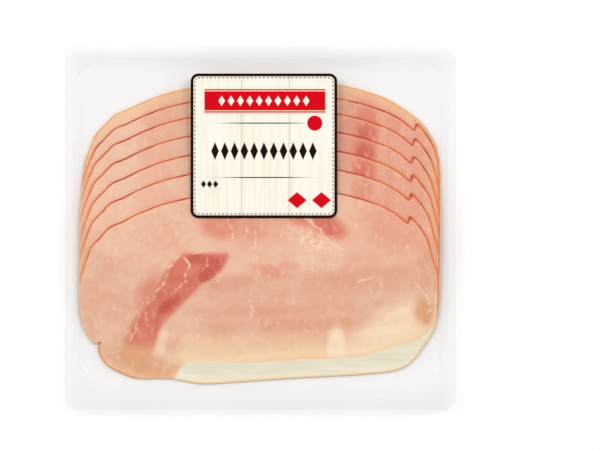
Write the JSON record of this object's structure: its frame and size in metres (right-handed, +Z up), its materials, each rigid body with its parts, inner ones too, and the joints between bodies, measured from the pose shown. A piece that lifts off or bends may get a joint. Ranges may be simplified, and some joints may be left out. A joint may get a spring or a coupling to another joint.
{
  "type": "sliced cooked ham pack",
  "caption": "Thin slices of cooked ham fanned in a shallow clear tray under a sealed clear lid film with a square paper label.",
  "frame": {"origin": "centre of the tray's flat underside", "axes": "+X along the tray's longer side, the way the label reads; +Y towards the back edge that the label is near; +Z up out of the tray, through the lid film"},
  "size_m": [0.2, 0.186, 0.0138],
  "materials": {
    "tray_sheet": "clear formed sheet, glossy",
    "ham": "moist cut meat, soft and slightly glossy",
    "lid_film": "clear thin film, glossy",
    "label_paper": "printed paper, satin"
  },
  "bodies": {
    "root": {"tray": "tray_sheet", "slice_1": "ham", "slice_2": "ham", "slice_3": "ham", "slice_4": "ham", "slice_5": "ham", "slice_6": "ham", "slice_7": "ham", "lid_film": "lid_film", "label": "label_paper"}
  },
  "joints": []
}
